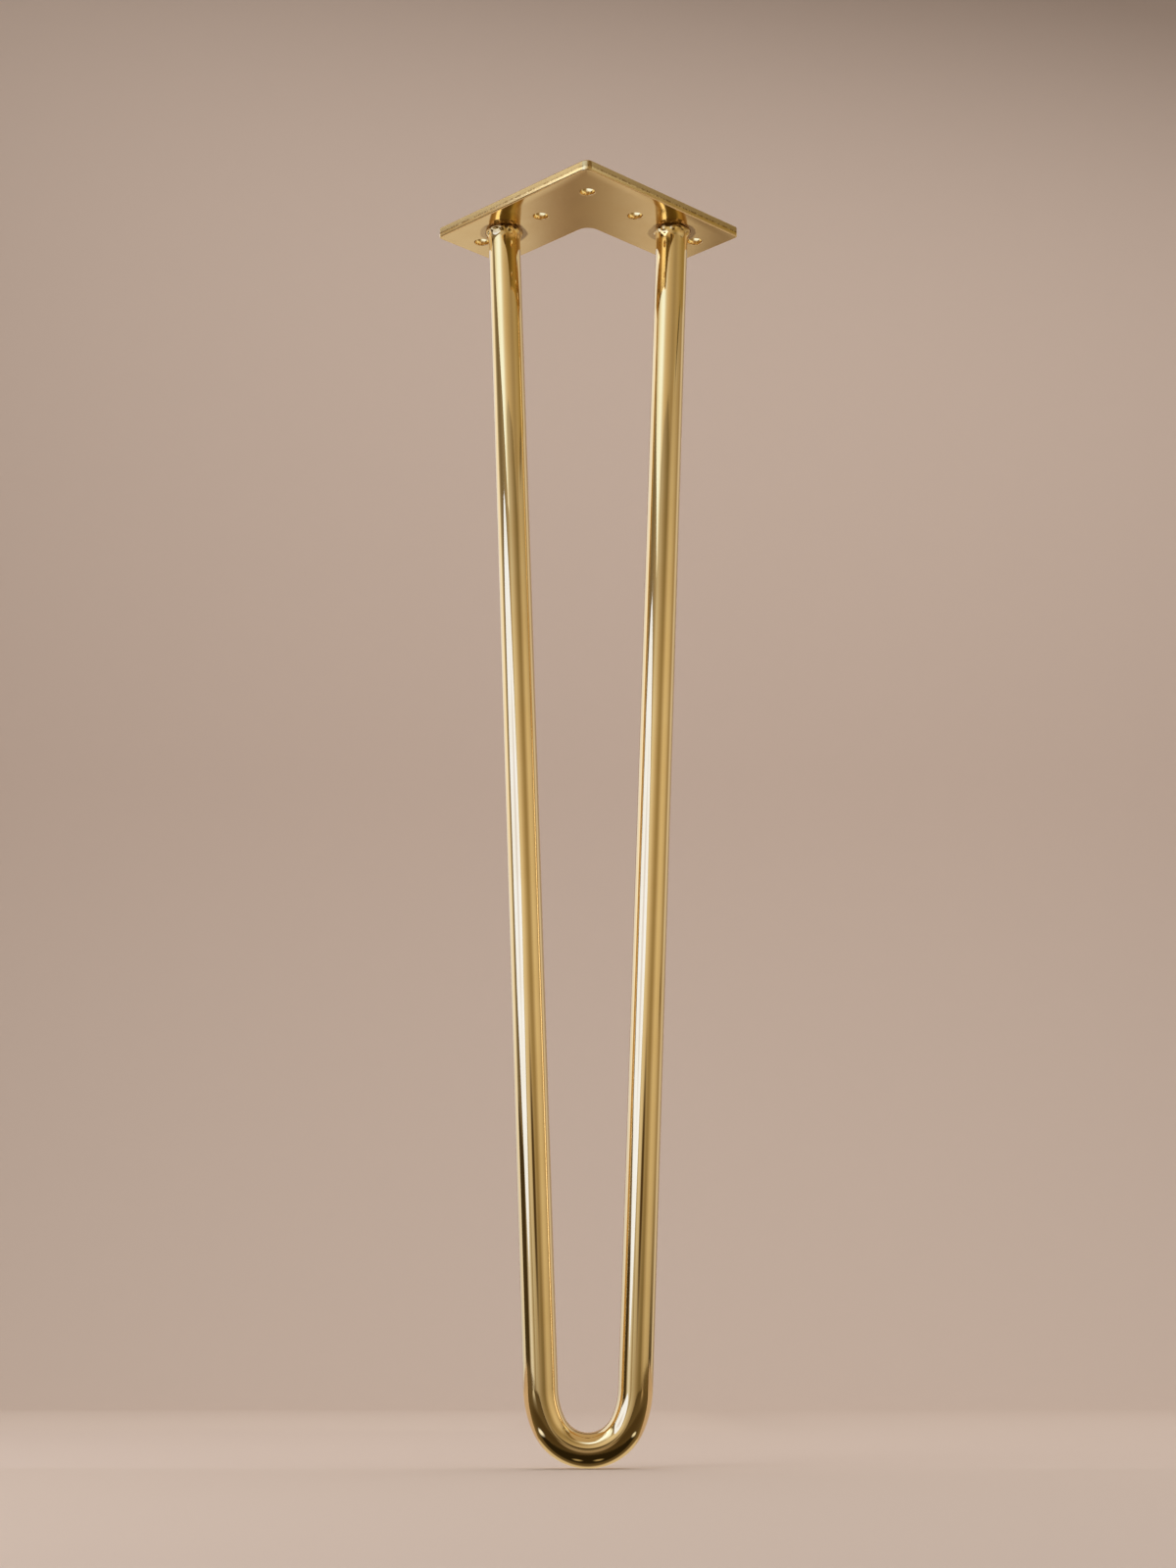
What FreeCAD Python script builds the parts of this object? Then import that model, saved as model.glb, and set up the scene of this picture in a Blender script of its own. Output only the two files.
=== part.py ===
# Hairpin table leg: one round bar bent to a narrow U, with both ends welded under a flat corner plate.
#
# Millimetres, +Z up. The plate's top face, which lies against the table, is at z = 0, and the foot of
# the U is the lowest point. The origin is on that face, where the centre lines of the plate's two arms
# cross. The arms run back at 45 degrees to each side of +Y, so the plate's outer corner points to -Y,
# and the leg is the same on both sides of x = 0. The bent bar lies in one plane, square to the plate.
import FreeCAD, Part
import math
import os

# Whole leg
LEG_HEIGHT = 457.0  # from the plate's top face to the lowest point of the foot

# Corner plate, stamped from flat strip
ARM_LENGTH = 81.0  # along the outer edge, from the sharp outer corner
ARM_WIDTH = 33.5
PLATE_THICKNESS = 4.0
OUTER_CORNER_RADIUS = 2.7
INNER_CORNER_RADIUS = 4.5  # in the notch between the arms
ARM_END_RADIUS = 1.5
PLATE_EDGE_ROUND = 0.5  # stamped and tumbled edges, above and below

# Five plain holes for wood screws: one at the corner and two in each arm
HOLE_DIAMETER = 5.5
HOLE_EDGE_BREAK = 0.3  # small bevel at each rim, above and below
CORNER_HOLE_FROM_EDGES = 13.5  # from both outer edges
MIDDLE_HOLE_FROM_EDGE = 15.0  # from the arm's outer edge
MIDDLE_HOLE_FROM_BAR = 20.0  # along the arm, towards the corner
END_HOLE_FROM_EDGE = 14.5  # from the arm's outer edge
END_HOLE_FROM_ARM_END = 9.0

# Bent bar: two straight runs that close in downwards, eased by wide shoulder bends into the foot's bend
BAR_DIAMETER = 12.0
BAR_FROM_EDGE = 15.0  # bar's centre, from the arm's outer edge
FOOT_BEND_RADIUS = 14.8  # to the bar's centre line
FOOT_BEND_HALF_ANGLE = 65.0  # degrees of the foot's bend to each side of its lowest point
SHOULDER_BEND_RADIUS = 30.0  # to the bar's centre line

# Weld round each end of the bar
WELD_WIDTH = 1.3  # on the plate, beyond the bar
WELD_HEIGHT = 1.8  # down the bar
WELD_CROWN = 0.35  # bulge of the bead's face beyond a straight bevel
WELD_TO_END_HOLE = 1.95  # bare plate left between the bead and the end hole

DIAGONAL = math.sqrt(0.5)  # the arms run at 45 degrees
SAME_PLACE = 0.001  # two points closer than this are one


def place_on_arm(along, from_edge, side, height=0.0):
    """A point by its distance along an arm and from that arm's outer edge; side is +1 or -1, as x is."""
    across = side * (along - from_edge) * DIAGONAL
    back = (along + from_edge - ARM_WIDTH) * DIAGONAL
    return FreeCAD.Vector(across, back, height)


# Distances along an arm, from the sharp outer corner
end_hole_along = ARM_LENGTH - END_HOLE_FROM_ARM_END
bar_to_end_hole = BAR_DIAMETER / 2 + WELD_WIDTH + WELD_TO_END_HOLE + HOLE_DIAMETER / 2
bar_along = end_hole_along - bar_to_end_hole
middle_hole_along = bar_along - MIDDLE_HOLE_FROM_BAR

underside = -PLATE_THICKNESS
bar_seat = place_on_arm(bar_along, BAR_FROM_EDGE, 1, underside)  # centre of the bar's end at x > 0


def mirrored(thing):
    """The same point or solid on the other side of x = 0."""
    if isinstance(thing, FreeCAD.Vector):
        return FreeCAD.Vector(-thing.x, thing.y, thing.z)
    return thing.mirror(FreeCAD.Vector(0, 0, 0), FreeCAD.Vector(1, 0, 0))


def in_bar_plane(centre, radius, angle):
    """A point on a circle in the bar's plane; the angle runs from straight down, towards +X."""
    return centre + FreeCAD.Vector(math.sin(angle), 0, -math.cos(angle)) * radius


# Bend centres. The straight run is tangent to the shoulder bend and ends at the bar's seat, which gives
# the angle by which it leans out of the upright.
foot_half_angle = math.radians(FOOT_BEND_HALF_ANGLE)
foot_centre = FreeCAD.Vector(0, bar_seat.y, -LEG_HEIGHT + BAR_DIAMETER / 2 + FOOT_BEND_RADIUS)
shoulder_centre = in_bar_plane(foot_centre, FOOT_BEND_RADIUS - SHOULDER_BEND_RADIUS, foot_half_angle)
seat_from_shoulder = bar_seat - shoulder_centre
lean = math.atan2(seat_from_shoulder.x, seat_from_shoulder.z) - math.asin(
    SHOULDER_BEND_RADIUS / seat_from_shoulder.Length
)
straight_angle = math.pi / 2 - lean  # where the shoulder bend meets the straight run
up_the_bar = FreeCAD.Vector(math.sin(lean), 0, math.cos(lean))
out_of_the_bar = FreeCAD.Vector(math.cos(lean), 0, -math.sin(lean))


def above_underside(margin):
    """A slab that starts at the plate's underside and covers both of the bar's ends."""
    low = mirrored(bar_seat) - FreeCAD.Vector(margin, margin, 0)
    return Part.makeBox(2 * (bar_seat.x + margin), 2 * margin, margin, low)


def make_mounting_plate():
    """The stamped L-shaped plate, with rounded corners and edges and five screw holes."""
    outer_corner = place_on_arm(0, 0, 1)
    arm_tips = [place_on_arm(ARM_LENGTH, from_edge, 1) for from_edge in (0, ARM_WIDTH)]
    inner_corner = place_on_arm(ARM_WIDTH, ARM_WIDTH, 1)
    outline = [outer_corner, *arm_tips, inner_corner, *map(mirrored, reversed(arm_tips)), outer_corner]
    plate = Part.Face(Part.makePolygon(outline)).extrude(FreeCAD.Vector(0, 0, -PLATE_THICKNESS))

    def upright_edges(solid, corners):
        """The vertical edges below these corners of the outline."""
        found = []
        for edge in solid.Edges:
            ends = [vertex.Point for vertex in edge.Vertexes]
            for corner in corners:
                if all(math.hypot(end.x - corner.x, end.y - corner.y) < SAME_PLACE for end in ends):
                    found.append(edge)
        return found

    plate = plate.makeFillet(OUTER_CORNER_RADIUS, upright_edges(plate, [outer_corner]))
    plate = plate.makeFillet(INNER_CORNER_RADIUS, upright_edges(plate, [inner_corner]))
    plate = plate.makeFillet(ARM_END_RADIUS, upright_edges(plate, arm_tips + list(map(mirrored, arm_tips))))
    rims = [edge for edge in plate.Edges if edge.BoundBox.ZLength < SAME_PLACE]
    plate = plate.makeFillet(PLATE_EDGE_ROUND, rims)

    centres = [place_on_arm(CORNER_HOLE_FROM_EDGES, CORNER_HOLE_FROM_EDGES, 1, underside)]
    for side in (1, -1):
        centres.append(place_on_arm(middle_hole_along, MIDDLE_HOLE_FROM_EDGE, side, underside))
        centres.append(place_on_arm(end_hole_along, END_HOLE_FROM_EDGE, side, underside))
    drills = [Part.makeCylinder(HOLE_DIAMETER / 2, PLATE_THICKNESS, centre) for centre in centres]
    plate = plate.cut(drills)
    hole_rims = [edge for edge in plate.Edges if len(edge.Vertexes) == 1]
    return plate.makeChamfer(HOLE_EDGE_BREAK, hole_rims)


def make_hairpin_rod():
    """The bar, swept along its centre line and cut off flush with the plate's underside."""
    top = bar_seat + up_the_bar * BAR_DIAMETER
    shoulder_top = in_bar_plane(shoulder_centre, SHOULDER_BEND_RADIUS, straight_angle)
    shoulder_middle = in_bar_plane(
        shoulder_centre, SHOULDER_BEND_RADIUS, (foot_half_angle + straight_angle) / 2
    )
    foot_end = in_bar_plane(foot_centre, FOOT_BEND_RADIUS, foot_half_angle)
    foot_lowest = in_bar_plane(foot_centre, FOOT_BEND_RADIUS, 0)
    centre_line = Part.Wire(
        [
            Part.LineSegment(mirrored(top), mirrored(shoulder_top)).toShape(),
            Part.Arc(mirrored(shoulder_top), mirrored(shoulder_middle), mirrored(foot_end)).toShape(),
            Part.Arc(mirrored(foot_end), foot_lowest, foot_end).toShape(),
            Part.Arc(foot_end, shoulder_middle, shoulder_top).toShape(),
            Part.LineSegment(shoulder_top, top).toShape(),
        ]
    )
    section = Part.Wire(Part.Circle(mirrored(top), mirrored(up_the_bar), BAR_DIAMETER / 2).toShape())
    bar = centre_line.makePipeShell([section], True, False)
    rod = bar.cut(above_underside(2 * BAR_DIAMETER))
    section_area = math.pi * BAR_DIAMETER**2 / 4
    print("bar cut length %.1f, volume over section %.1f" % (centre_line.Length, bar.Volume / section_area))
    return rod


def make_weld_bead(rod):
    """The bead at x > 0: a bulging bevel turned round the bar, then trimmed to the bar and the plate."""
    bar_radius = BAR_DIAMETER / 2
    toe = bar_seat + out_of_the_bar * (bar_radius + WELD_WIDTH)
    heel = bar_seat + out_of_the_bar * bar_radius - up_the_bar * WELD_HEIGHT
    bevel = heel - toe
    crown = (toe + heel) * 0.5 + bevel.cross(FreeCAD.Vector(0, 1, 0)).normalize() * WELD_CROWN
    above = up_the_bar * bar_radius
    face = Part.Face(
        Part.Wire(
            [
                Part.Arc(toe, crown, heel).toShape(),
                Part.makePolygon(
                    [heel, bar_seat - up_the_bar * WELD_HEIGHT, bar_seat + above, toe + above, toe]
                ),
            ]
        )
    )
    turned = face.revolve(bar_seat, up_the_bar, 360)
    return turned.cut([rod, above_underside(2 * BAR_DIAMETER)])


mounting_plate = make_mounting_plate()
hairpin_rod = make_hairpin_rod()
weld_bead_right = make_weld_bead(hairpin_rod)
weld_bead_left = mirrored(weld_bead_right)

os.makedirs("parts", exist_ok=True)
nodes = {
    "mounting_plate": mounting_plate,
    "hairpin_rod": hairpin_rod,
    "weld_bead_left": weld_bead_left,
    "weld_bead_right": weld_bead_right,
}
for name, shape in nodes.items():
    shape.exportStep("parts/%s.step" % name)
    box = shape.BoundBox
    print(
        "%-16s solids %d valid %s volume %.2f x %.3f..%.3f y %.3f..%.3f z %.3f..%.3f"
        % (
            name,
            len(shape.Solids),
            shape.isValid(),
            shape.Volume,
            box.XMin,
            box.XMax,
            box.YMin,
            box.YMax,
            box.ZMin,
            box.ZMax,
        )
    )
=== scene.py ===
# %% [markdown]
# # A hairpin table leg
#
# This lesson builds one hairpin leg for a table: a round steel bar bent to a narrow U, welded at both
# ends under a flat corner plate, and plated in light gold. Its looks come from three things: a mirror
# bright bar, a plate with a soft satin face, and the small lumpy bead of weld metal between them.
#
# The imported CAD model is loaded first. It gives the sizes and stays hidden where a finer piece stands
# for it. Everything is in metres, with +Z up and z = 0 on the plate's top face.

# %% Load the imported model
import math
import random

import bmesh
import bpy
from mathutils import Matrix, Vector


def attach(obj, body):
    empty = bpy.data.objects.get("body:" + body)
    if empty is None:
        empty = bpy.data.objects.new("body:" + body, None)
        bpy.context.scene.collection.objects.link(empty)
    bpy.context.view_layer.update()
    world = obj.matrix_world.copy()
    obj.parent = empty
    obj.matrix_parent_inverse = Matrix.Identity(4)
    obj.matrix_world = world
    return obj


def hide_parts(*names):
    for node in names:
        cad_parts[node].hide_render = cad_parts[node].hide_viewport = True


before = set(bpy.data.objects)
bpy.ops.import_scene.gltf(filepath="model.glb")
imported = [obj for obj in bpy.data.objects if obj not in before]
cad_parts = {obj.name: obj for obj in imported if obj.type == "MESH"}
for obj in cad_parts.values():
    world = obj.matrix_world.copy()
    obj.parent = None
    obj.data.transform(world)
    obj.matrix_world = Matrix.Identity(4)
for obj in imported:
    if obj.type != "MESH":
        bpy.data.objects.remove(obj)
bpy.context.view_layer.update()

print("nodes", sorted(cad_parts))

# %% [markdown]
# ## The camera
#
# The leg is seen from low in front, from just above the floor, with the camera tipped up by 13 degrees.
# Where a camera stands decides the perspective, and its lens only the crop, so it is placed first.
# This place was found by matching the plate's corners, its holes and the bar's sides one by one.

# %% Camera
CAMERA_PLACE = (0.00697, -0.86116, -0.4247)
CAMERA_TILT = math.radians(103.03)
CAMERA_TURN = math.radians(0.45)

camera_data = bpy.data.cameras.new("camera")
camera_data.sensor_width = 36.0
camera_data.lens = 58.25
camera_data.clip_start = 0.01
camera = bpy.data.objects.new("camera", camera_data)
camera.location = CAMERA_PLACE
camera.rotation_euler = (CAMERA_TILT, 0, CAMERA_TURN)
bpy.context.scene.collection.objects.link(camera)
bpy.context.scene.camera = camera
print("camera", tuple(round(v, 4) for v in camera.location), "lens", camera_data.lens)

# %% [markdown]
# ## Sizes
#
# The sizes are those of the CAD model, so every new piece falls where its solid is. The bar's two straight
# runs lean out of the upright by about two degrees. That lean follows from the bends and the seats.

# %% Sizes of the leg
MM = 0.001
LEG_HEIGHT = 457 * MM
ARM_LENGTH, ARM_WIDTH, PLATE_THICKNESS = 81 * MM, 33.5 * MM, 4 * MM
OUTER_CORNER_RADIUS, INNER_CORNER_RADIUS, ARM_END_RADIUS = 2.7 * MM, 4.5 * MM, 1.5 * MM
PLATE_EDGE_ROUND = 0.5 * MM
HOLE_RADIUS, HOLE_EDGE_BREAK = 2.75 * MM, 0.3 * MM
BAR_RADIUS = 6 * MM
FOOT_BEND_RADIUS, SHOULDER_BEND_RADIUS = 14.8 * MM, 30 * MM
FOOT_HALF_ANGLE = math.radians(65)
DIAGONAL = math.sqrt(0.5)
UNDERSIDE = -PLATE_THICKNESS


def place_on_arm(along, from_edge, side):
    """A point of the underside, by its way along an arm and from its outer edge; side is the sign of x."""
    across, back = side * (along - from_edge), along + from_edge - ARM_WIDTH
    return Vector((across * DIAGONAL, back * DIAGONAL, UNDERSIDE))


HOLE_CENTRES = [place_on_arm(13.5 * MM, 13.5 * MM, 1)]
for side in (1, -1):
    HOLE_CENTRES.append(place_on_arm(40 * MM, 15 * MM, side))
    HOLE_CENTRES.append(place_on_arm(72 * MM, 14.5 * MM, side))
SEAT = place_on_arm(60 * MM, 15 * MM, 1)  # centre of the bar's end, on the right

# %% The bar's centre line
FOOT_CENTRE = Vector((0, SEAT.y, -LEG_HEIGHT + BAR_RADIUS + FOOT_BEND_RADIUS))
SHOULDER_CENTRE = FOOT_CENTRE - (SHOULDER_BEND_RADIUS - FOOT_BEND_RADIUS) * Vector(
    (math.sin(FOOT_HALF_ANGLE), 0, -math.cos(FOOT_HALF_ANGLE))
)
from_shoulder = SEAT - SHOULDER_CENTRE
LEAN = math.atan2(from_shoulder.x, from_shoulder.z) - math.asin(SHOULDER_BEND_RADIUS / from_shoulder.length)
SHOULDER_ANGLE = math.pi / 2 - LEAN - FOOT_HALF_ANGLE
UP_THE_BAR = Vector((math.sin(LEAN), 0, math.cos(LEAN)))
SHOULDER_TOP = SHOULDER_CENTRE + SHOULDER_BEND_RADIUS * Vector((math.cos(LEAN), 0, -math.sin(LEAN)))


def other_side(point):
    """The same point on the other side of x = 0."""
    return Vector((-point.x, point.y, point.z))


print("lean %.3f degrees, shoulder bend %.1f degrees" % (math.degrees(LEAN), math.degrees(SHOULDER_ANGLE)))

# %% [markdown]
# ## Tools for the bench
#
# Most shapes here are made as by hand: add a simple form at its place, go into edit mode, pick some
# faces or edges, and push, spin or bevel them. An operator works on everything that is selected, so each
# piece starts with nothing selected, and `pick` selects parts of it by where they are.

# %% Helpers for modelling
def start_clean():
    """Leave edit mode and deselect everything."""
    if bpy.context.object and bpy.context.object.mode != "OBJECT":
        bpy.ops.object.mode_set(mode="OBJECT")
    bpy.ops.object.select_all(action="DESELECT")


def begin(name):
    """Name the form that was just added, put its place into its mesh and go into edit mode."""
    piece = bpy.context.object
    piece.name = piece.data.name = name
    bpy.ops.object.transform_apply(location=True, rotation=True, scale=True)
    bpy.ops.object.mode_set(mode="EDIT")
    bpy.ops.mesh.select_all(action="SELECT")
    return piece


def middle(item):
    """The middle of an edge or a face."""
    return sum((vertex.co for vertex in item.verts), Vector()) / len(item.verts)


def pick(kind, test):
    """In edit mode, select only the parts of one kind that pass the test, and say how many."""
    bpy.ops.mesh.select_mode(type=kind)
    bpy.ops.mesh.select_all(action="DESELECT")
    mesh = bmesh.from_edit_mesh(bpy.context.object.data)
    parts = {"VERT": mesh.verts, "EDGE": mesh.edges, "FACE": mesh.faces}[kind]
    chosen = [part for part in parts if test(part)]
    for part in chosen:
        part.select_set(True)
    mesh.select_flush_mode()
    bmesh.update_edit_mesh(bpy.context.object.data)
    return len(chosen)


def use_modifier(piece, kind, **settings):
    """Add a modifier, set it and apply it."""
    modifier = piece.modifiers.new(kind.title(), kind)
    for key, value in settings.items():
        setattr(modifier, key, value)
    bpy.context.view_layer.objects.active = piece
    bpy.ops.object.modifier_apply(modifier=modifier.name)


def cut_at_underside():
    """In edit mode, cut off what is above the plate's underside and close the cut."""
    bpy.ops.mesh.select_all(action="SELECT")
    bpy.ops.mesh.bisect(
        plane_co=(0, 0, UNDERSIDE), plane_no=(0, 0, 1), clear_outer=True, use_fill=True, threshold=0.0001 * MM
    )


def tell(piece):
    """Print a piece's faces and box in millimetres."""
    corners = [piece.matrix_world @ Vector(corner) for corner in piece.bound_box]
    low = [round(min(corner[i] for corner in corners) / MM, 3) for i in range(3)]
    high = [round(max(corner[i] for corner in corners) / MM, 3) for i in range(3)]
    print("%s: %d faces, from %s to %s mm" % (piece.name, len(piece.data.polygons), low, high))


# %% [markdown]
# ## The bent bar
#
# The real bar is a straight length of 12 mm steel, polished, bent cold round a former and plated. Its
# reflections run down it in clean lines, so the mesh needs many sides and no dents. A swept curve would do,
# but spinning a ring of edges is closer to how the bar is bent: the ring is drawn down the straight run and
# then turned about the same bend centres as the real one. The ends are cut flush with the plate at last.

# %% Draw and spin the bar
BAR_SIDES = 96
above_seat = 2 * BAR_RADIUS * UP_THE_BAR  # spare length, cut off later

start_clean()
bpy.ops.mesh.primitive_circle_add(
    vertices=BAR_SIDES, radius=BAR_RADIUS, fill_type="NOTHING",
    location=SEAT + above_seat, rotation=(0, LEAN, 0)
)
bar = begin("bent_bar")
down_the_run = SHOULDER_TOP - (SEAT + above_seat)
bpy.ops.mesh.extrude_region_move(TRANSFORM_OT_translate={"value": down_the_run})
for bend_centre, bend_angle, steps in (
    (SHOULDER_CENTRE, SHOULDER_ANGLE, 20),
    (FOOT_CENTRE, 2 * FOOT_HALF_ANGLE, 72),
    (other_side(SHOULDER_CENTRE), SHOULDER_ANGLE, 20),
):
    bpy.ops.mesh.spin(steps=steps, angle=bend_angle, center=bend_centre, axis=(0, -1, 0))
bpy.ops.mesh.extrude_region_move(
    TRANSFORM_OT_translate={"value": other_side(SEAT + above_seat) - other_side(SHOULDER_TOP)}
)
bpy.ops.object.mode_set(mode="OBJECT")
tell(bar)

# %% Cut the ends flush
bpy.ops.object.mode_set(mode="EDIT")
bpy.ops.mesh.select_all(action="SELECT")
bpy.ops.mesh.remove_doubles(threshold=0.001 * MM)
cut_at_underside()
bpy.ops.mesh.select_all(action="SELECT")
bpy.ops.mesh.normals_make_consistent(inside=False)
bpy.ops.object.mode_set(mode="OBJECT")
bpy.ops.object.shade_smooth_by_angle(angle=math.radians(35))
tell(bar)

# %% [markdown]
# Polishing leaves faint lines that run along the bar, round its bends as well. For these the bar carries
# its own coordinates, called `straightened`: each point's place in the bar as it was before bending.

# %% Coordinates of the straight bar
def straighten(point):
    """A point of the bar, as it lay before bending: across in the bend's plane, front to back, and along."""
    x, z = abs(point.x), point.z
    in_foot = math.atan2(x - FOOT_CENTRE.x, FOOT_CENTRE.z - z)
    in_shoulder = math.atan2(x - SHOULDER_CENTRE.x, SHOULDER_CENTRE.z - z)
    foot_length = FOOT_BEND_RADIUS * FOOT_HALF_ANGLE
    if abs(in_foot) <= FOOT_HALF_ANGLE and z < FOOT_CENTRE.z:
        across = math.hypot(x, z - FOOT_CENTRE.z) - FOOT_BEND_RADIUS
        along = FOOT_BEND_RADIUS * in_foot
    elif in_shoulder <= FOOT_HALF_ANGLE + SHOULDER_ANGLE:
        across = math.hypot(x - SHOULDER_CENTRE.x, z - SHOULDER_CENTRE.z) - SHOULDER_BEND_RADIUS
        along = foot_length + SHOULDER_BEND_RADIUS * (in_shoulder - FOOT_HALF_ANGLE)
    else:
        from_top = Vector((x, SEAT.y, z)) - SHOULDER_TOP
        across = from_top.x * math.cos(LEAN) - from_top.z * math.sin(LEAN)
        along = foot_length + SHOULDER_BEND_RADIUS * SHOULDER_ANGLE + from_top.dot(UP_THE_BAR)
    return Vector((across, point.y - SEAT.y, along if point.x >= 0 else -along))


straightened = bar.data.attributes.new("straightened", "FLOAT_VECTOR", "POINT")
for vertex in bar.data.vertices:
    straightened.data[vertex.index].vector = straighten(vertex.co)
reach = [item.vector.z for item in straightened.data]
print("bar before bending: %.1f mm long" % ((max(reach) - min(reach)) / MM))

# %% [markdown]
# ## The corner plate
#
# The plate is stamped from 4 mm strip and tumbled, so its corners are cut to small radii and every edge is
# a little round. It is modelled as it is laid out: the square at the corner first, an arm pulled out of
# each of its two back faces, then the corners and edges bevelled in the order in which tools reach them.

# %% Pull the two arms out of the corner square
start_clean()
bpy.ops.mesh.primitive_cube_add(size=1, location=(0, 0, UNDERSIDE / 2), rotation=(0, 0, math.pi / 4))
bpy.context.object.scale = (ARM_WIDTH, ARM_WIDTH, PLATE_THICKNESS)
plate = begin("corner_plate")
for side in (1, -1):
    outward = Vector((side, 1, 0)).normalized()
    pick("FACE", lambda face: face.normal.dot(outward) > 0.99 and middle(face).xy.length < 0.6 * ARM_WIDTH)
    bpy.ops.mesh.extrude_region_move(TRANSFORM_OT_translate={"value": outward * (ARM_LENGTH - ARM_WIDTH)})
bpy.ops.mesh.select_all(action="SELECT")
bpy.ops.mesh.dissolve_limited(angle_limit=math.radians(1))
bpy.ops.object.mode_set(mode="OBJECT")
tell(plate)

# %% Round the corners, then the edges
corner_radii = {
    tuple(place_on_arm(0, 0, 1).xy): OUTER_CORNER_RADIUS,
    tuple(place_on_arm(ARM_WIDTH, ARM_WIDTH, 1).xy): INNER_CORNER_RADIUS,
}
for side in (1, -1):
    for from_edge in (0, ARM_WIDTH):
        corner_radii[tuple(place_on_arm(ARM_LENGTH, from_edge, side).xy)] = ARM_END_RADIUS

bpy.ops.object.mode_set(mode="EDIT")
for corner, radius in corner_radii.items():
    pick("EDGE", lambda edge: all((end.co.xy - Vector(corner)).length < 0.01 * MM for end in edge.verts))
    bpy.ops.mesh.bevel(offset=radius, segments=10, profile=0.5, affect="EDGES")
rims = pick("EDGE", lambda edge: abs(edge.verts[0].co.z - edge.verts[1].co.z) < 0.01 * MM)
bpy.ops.mesh.bevel(offset=PLATE_EDGE_ROUND, segments=5, profile=0.5, affect="EDGES")
bpy.ops.object.mode_set(mode="OBJECT")
print("edges rounded along both rims:", rims)
tell(plate)

# %% [markdown]
# The five screw holes are drilled and lightly broken at both rims. One drill is modelled, a straight shank
# that flares by the width of the bevel where it passes each face, and a copy of it goes to each hole.

# %% Drill the holes
FLARE = 0.5 * MM  # how far the drill reaches past each face
WIDEST = HOLE_RADIUS + HOLE_EDGE_BREAK + FLARE

start_clean()
bpy.ops.mesh.primitive_circle_add(vertices=72, radius=WIDEST, fill_type="NGON", location=(0, 0, FLARE))
drill = begin("drill")
drill_steps = (
    (HOLE_EDGE_BREAK + FLARE, HOLE_RADIUS),
    (PLATE_THICKNESS - 2 * HOLE_EDGE_BREAK, HOLE_RADIUS),
    (HOLE_EDGE_BREAK + FLARE, WIDEST),
)
radius_now, height_now = WIDEST, FLARE
for depth, radius in drill_steps:
    bpy.ops.mesh.extrude_region_move(TRANSFORM_OT_translate={"value": (0, 0, -depth)})
    height_now -= depth
    grow = radius / radius_now
    bpy.ops.transform.resize(value=(grow, grow, 1), center_override=(0, 0, height_now))
    radius_now = radius
bpy.ops.mesh.select_all(action="SELECT")
bpy.ops.mesh.normals_make_consistent(inside=False)
bpy.ops.object.mode_set(mode="OBJECT")
tell(drill)

for centre in HOLE_CENTRES:
    start_clean()
    drill.select_set(True)
    bpy.context.view_layer.objects.active = drill
    bpy.ops.object.duplicate()
    cutter = bpy.context.object
    cutter.location = (centre.x, centre.y, 0)
    use_modifier(plate, "BOOLEAN", object=cutter, operation="DIFFERENCE", solver="EXACT")
    bpy.data.objects.remove(cutter)
bpy.data.objects.remove(drill)
tell(plate)

# %% Smooth the plate's edges but keep its faces flat
start_clean()
plate.select_set(True)
bpy.context.view_layer.objects.active = plate
bpy.ops.object.shade_smooth()
use_modifier(plate, "WEIGHTED_NORMAL", mode="FACE_AREA", weight=100, keep_sharp=False)
tell(plate)

# %% [markdown]
# ## The weld beads
#
# A welder lays the bead round the bar in small overlapping drops, so its face is a row of soft lumps of
# uneven size, and below them the metal runs out thinly down the bar. A section that hollows in towards the
# bar is spun about the leaning bar, places near the plate are drawn out or pushed in by turns, as with a
# sculptor's soft brush, and the bead is cut off at the plate's underside.

# %% Lay a bead round each end of the bar
BEAD_STEPS = 144
LUMPS = 22
DRAWN_OUT, PUSHED_IN = (0.14, 0.36), (-0.20, -0.05)  # millimetres, least and most
BEAD_SECTION = (  # millimetres outwards from the bar's face, and down from the plate
    (1.20, -0.45), (1.18, 0.0), (0.97, 0.35), (0.78, 0.70), (0.60, 1.10), (0.44, 1.50), (0.30, 1.95),
    (0.19, 2.4), (0.11, 2.9), (0.056, 3.5), (0.025, 4.1), (0.010, 4.8), (0.002, 5.5), (-0.004, 6.3),
    (-0.5, 6.3), (-0.5, -0.45)
)
random.seed(12)


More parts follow.
